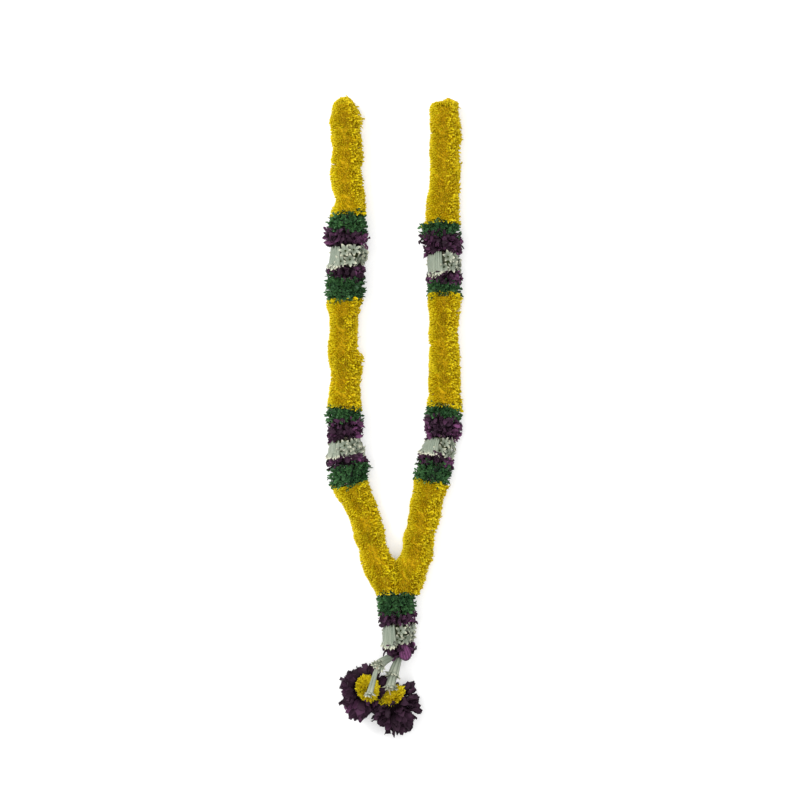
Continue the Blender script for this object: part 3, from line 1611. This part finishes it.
FINISHES = {
    Kind.YELLOW: Finish(
        "chrysanthemum_petals", "yellow_petals",
        deep=(0.47, 0.265, 0.001), low=(0.65, 0.41, 0.002), high=(0.63, 0.535, 0.002),
        tip=(0.85, 0.70, 0.026), vein=(0.54, 0.37, 0.001),
        vein_count=3.0, vein_sharpness=3.0, vein_share=0.25,
        deep_from=0.05, deep_to=0.46, tip_from=0.75, ring_share=0.35,
        roughness=(0.50, 0.70), bump=0.5, specular=0.07,
    ),
    Kind.GREEN: Finish(
        "leaf_sprigs", "green_leaves",
        deep=(0.006, 0.014, 0.006), low=(0.009, 0.038, 0.018), high=(0.078, 0.215, 0.064),
        tip=(0.055, 0.15, 0.055), vein=(0.09, 0.20, 0.07),
        vein_count=0.0, vein_sharpness=1.0, vein_share=0.0,
        deep_from=0.0, deep_to=0.35, tip_from=0.8, ring_share=0.45,
        roughness=(0.40, 0.60), bump=0.5, specular=0.2,
    ),
    Kind.PURPLE: Finish(
        "orchid_petals", "purple_petals",
        deep=(0.008, 0.003, 0.006), low=(0.021, 0.0135, 0.0175), high=(0.30, 0.085, 0.245),
        tip=(0.050, 0.028, 0.044), vein=(0.34, 0.16, 0.31),
        vein_count=9.0, vein_sharpness=5.0, vein_share=0.6,
        deep_from=0.0, deep_to=0.4, tip_from=0.82, ring_share=0.92,
        roughness=(0.45, 0.65), bump=0.6, specular=0.06, bump_distance=0.35,
    ),
    Kind.WHITE: Finish(
        "tuberose_florets", "white_petals",
        deep=(0.05, 0.065, 0.02), low=(0.205, 0.25, 0.19), high=(0.355, 0.39, 0.305),
        tip=(0.70, 0.69, 0.535), vein=(0.18, 0.225, 0.155),
        vein_count=4.0, vein_sharpness=4.0, vein_share=0.35,
        deep_from=0.0, deep_to=0.12, tip_from=0.45, ring_share=0.3,
        roughness=(0.38, 0.55), bump=0.4, specular=0.3,
    ),
    Kind.CORD: Finish(
        "cotton_cord", "cord",
        deep=(0.34, 0.27, 0.17), low=(0.50, 0.43, 0.30), high=(0.62, 0.55, 0.42),
        tip=(0.55, 0.48, 0.35), vein=(0.40, 0.33, 0.22),
        vein_count=6.0, vein_sharpness=3.0, vein_share=0.4,
        deep_from=-0.5, deep_to=-0.1, tip_from=0.9, ring_share=0.2,
        roughness=(0.75, 0.92), bump=0.8, specular=0.2,
    ),
}


class Garland:
    """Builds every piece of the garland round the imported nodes."""

    def __init__(self) -> None:
        """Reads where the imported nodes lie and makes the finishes."""
        free_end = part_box("left_yellow_top")[1].y / MM
        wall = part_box("left_yellow_lower")[1].x / MM
        self.shift = np.array((wall - LEFT_WALL_OF_V, free_end - LEFT_FREE_END, 0.0))
        groups = vein_group(), patch_group()
        self.materials = {kind: look.material(*groups) for kind, look in FINISHES.items()}
        self.flowers = {
            Kind.YELLOW: Chrysanthemums(), Kind.GREEN: LeafSprigs(),
            Kind.PURPLE: OrchidPetals(), Kind.WHITE: TuberoseFlorets(),
        }
        self.count = 0

    def draws(self) -> Generator:
        """Random draws of its own for each piece, the same at each run."""
        self.count += 1
        return default_rng((SEED, self.count))

    def piece(self, name: str, shape: Shape, kind: Kind, *nodes: str) -> None:
        """Makes a mesh object of a shape and puts it in its node's place.

        Args:
            name: the piece's name.
            shape: its shape, in millimetres.
            kind: what it is made of.
            nodes: the nodes that it stands for.
        """
        mesh = bpy.data.meshes.new(name)
        corners = np.concatenate([shape.quads.ravel(), shape.tris.ravel()]).astype(np.int32)
        sizes = np.repeat((4, 3), (len(shape.quads), len(shape.tris)))
        mesh.vertices.add(len(shape.points))
        mesh.vertices.foreach_set("co", (shape.points * MM).astype(np.float32).ravel())
        mesh.loops.add(len(corners))
        mesh.loops.foreach_set("vertex_index", corners)
        mesh.polygons.add(len(sizes))
        starts = np.cumsum(sizes) - sizes
        mesh.polygons.foreach_set("loop_start", starts.astype(np.int32))
        mesh.update(calc_edges=True)
        for value_name, values in shape.values.items():
            attribute = mesh.attributes.new(value_name, "FLOAT", "POINT")
            attribute.data.foreach_set("value", values.astype(np.float32))
        mesh.shade_smooth()
        mesh.set_sharp_from_angle(angle=SHARP_ANGLE)
        mesh.materials.append(self.materials[kind])
        made = bpy.data.objects.new(name, mesh)
        bpy.context.scene.collection.objects.link(made)
        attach(made, "root")
        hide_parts(*nodes)
        low, high = (np.array(corner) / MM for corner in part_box(nodes[0]))
        over = np.append(low - shape.points.min(axis=0), shape.points.max(axis=0) - high)
        triangles = 2 * len(shape.quads) + len(shape.tris)
        log.info("%s: %d triangles, past its node by %s mm", name, triangles, np.round(over, 1))

    def run(self, run: Run) -> None:
        """Ties a run's bands along its line, and lays the cord of a strand.

        Args:
            run: the strand or the pendant.
        """
        line = Line(run.line, self.shift, *run.leans)
        facing = run.place.facing
        middle = MIDDLE_OF_V + self.shift[0] - facing * V_OVERLAP
        wall = Wall((middle, 0.0, 0.0), (facing, 0.0, 0.0))
        start = 0.0
        for name, length in run.bands.items():
            kind = Kind(name.split("_")[0])
            length = length or line.length - start
            walls = (FLOOR, wall) if kind is Kind.YELLOW else (FLOOR,)
            stretch = Stretch(run, line, start, length, walls, self.draws())
            shape = self.flowers[kind].build(stretch)
            if name == BROAD_PETAL[0]:
                root, tip = (np.array(point) + self.shift for point in BROAD_PETAL[1:3])
                petal = self.flowers[kind].broad_petal(root, tip, BROAD_PETAL[3])
                shape = Shape.joined([shape, petal])
            node = f"{run.place.value}_{name}"
            self.piece(node + "_flowers", shape, kind, node)
            start += length
        if run.cord_tail:
            cord = CORD.build(Line((*run.line, *run.cord_tail), self.shift), CORD_TOP, self.draws())
            node = run.place.value + "_cord"
            self.piece(node + "_plies", cord, Kind.CORD, node)

    def tassel(self, tassel: Tassel) -> None:
        """Builds a tassel with its thread and its string of florets.

        Args:
            tassel: the tassel's sizes.
        """
        given = self.shift, self.draws()
        for name, node, kind, shape in (
            ("string_florets", "string", Kind.WHITE, tassel.string(*given)),
            ("tassel_blooms", "tassel_yellow", Kind.YELLOW,
             tassel.head(self.flowers[Kind.YELLOW], *given)),
            ("tassel_petals", "tassel_purple", Kind.PURPLE, tassel.skirt(*given)),
            ("thread_plies", "thread", Kind.CORD, tassel.threads(*given)),
        ):
            prefix = tassel.place.value + "_"
            self.piece(prefix + name, shape, kind, prefix + node)

    def build(self) -> None:
        """Builds all of it, from the free ends to the tassels."""
        for run in RUNS:
            self.run(run)
        for tassel in TASSELS:
            self.tassel(tassel)


@dataclass(frozen=True)
class Lamp:
    """A square soft light that looks at the middle of the floor: its place, side and power."""

    name: str
    place: Point
    size: float
    power: float


@dataclass(frozen=True)
class Studio:
    """The pale floor, the soft lights and the camera straight above."""

    view_width: float = 1.28
    centre: Pair = (0.0118, 0.0263)
    flower_height: float = 0.024
    lens: float = 110.0
    sensor: float = 36.0
    floor_size: float = 9.0
    floor_grey: float = 0.88
    floor_glow: float = 0.24
    sky_strength: float = 0.55
    # A key light from the upper left and a broad one overhead
    lamps: tuple[Lamp, ...] = (
        Lamp("key", (-1.6, 1.3, 2.0), 0.9, 50.0), Lamp("overhead", (0.3, -0.2, 2.6), 2.4, 43.0),
    )

    def place(self, name: str, data: bpy.types.ID) -> bpy.types.Object:
        """Puts a new object in the scene.

        Args:
            name: its name.
            data: its mesh, lamp or camera.

        Returns:
            The object.
        """
        made = bpy.data.objects.new(name, data)
        bpy.context.scene.collection.objects.link(made)
        return made

    def floor(self) -> None:
        """A wide flat floor with a pale matt finish."""
        half = self.floor_size / 2
        corners = [(-half, -half, 0), (half, -half, 0), (half, half, 0), (-half, half, 0)]
        mesh = bpy.data.meshes.new("pale_floor")
        mesh.from_pydata(corners, [], [(0, 1, 2, 3)])
        material = bpy.data.materials.new("pale_floor")
        material.use_nodes = True
        wiring = Wiring(material.node_tree)
        for name, value in (
            ("Base Color", (self.floor_grey,) * 3), ("Roughness", 0.9),
            ("Emission Color", (1.0, 1.0, 1.0)), ("Emission Strength", self.floor_glow),
            ("Specular IOR Level", 0.1),
        ):
            wiring.give(material.node_tree.nodes["Principled BSDF"].inputs[name], value)
        mesh.materials.append(material)
        floor = self.place("pale_floor", mesh)

    def lights(self) -> None:
        """The lamps and a pale sky."""
        for lamp in self.lamps:
            light = bpy.data.lights.new(lamp.name, "AREA")
            light.size = lamp.size
            light.energy = lamp.power
            made = self.place(lamp.name, light)
            made.location = lamp.place
            made.rotation_euler = (-Vector(lamp.place)).to_track_quat("-Z", "Y").to_euler()
        world = bpy.data.worlds.new("pale_sky")
        world.use_nodes = True
        sky = world.node_tree.nodes["Background"].inputs
        sky["Color"].default_value = (1.0, 1.0, 1.0, 1.0)
        sky["Strength"].default_value = self.sky_strength
        bpy.context.scene.world = world

    def camera(self) -> None:
        """A long lens straight above, whose picture is as wide as the view."""
        camera = bpy.data.cameras.new("above")
        camera.lens = self.lens
        camera.sensor_width = self.sensor
        made = self.place("above", camera)
        distance = self.view_width * self.lens / self.sensor
        made.location = (*self.centre, self.flower_height + distance)
        bpy.context.scene.camera = made

    def build(self) -> None:
        """Sets up the floor, the lights and the camera."""
        self.floor()
        self.lights()
        self.camera()
        bpy.context.scene.view_settings.view_transform = "Standard"


def main() -> None:
    logging.basicConfig(level=logging.INFO, format="%(message)s")
    Studio().build()
    Garland().build()


if __name__ == "__main__":
    main()
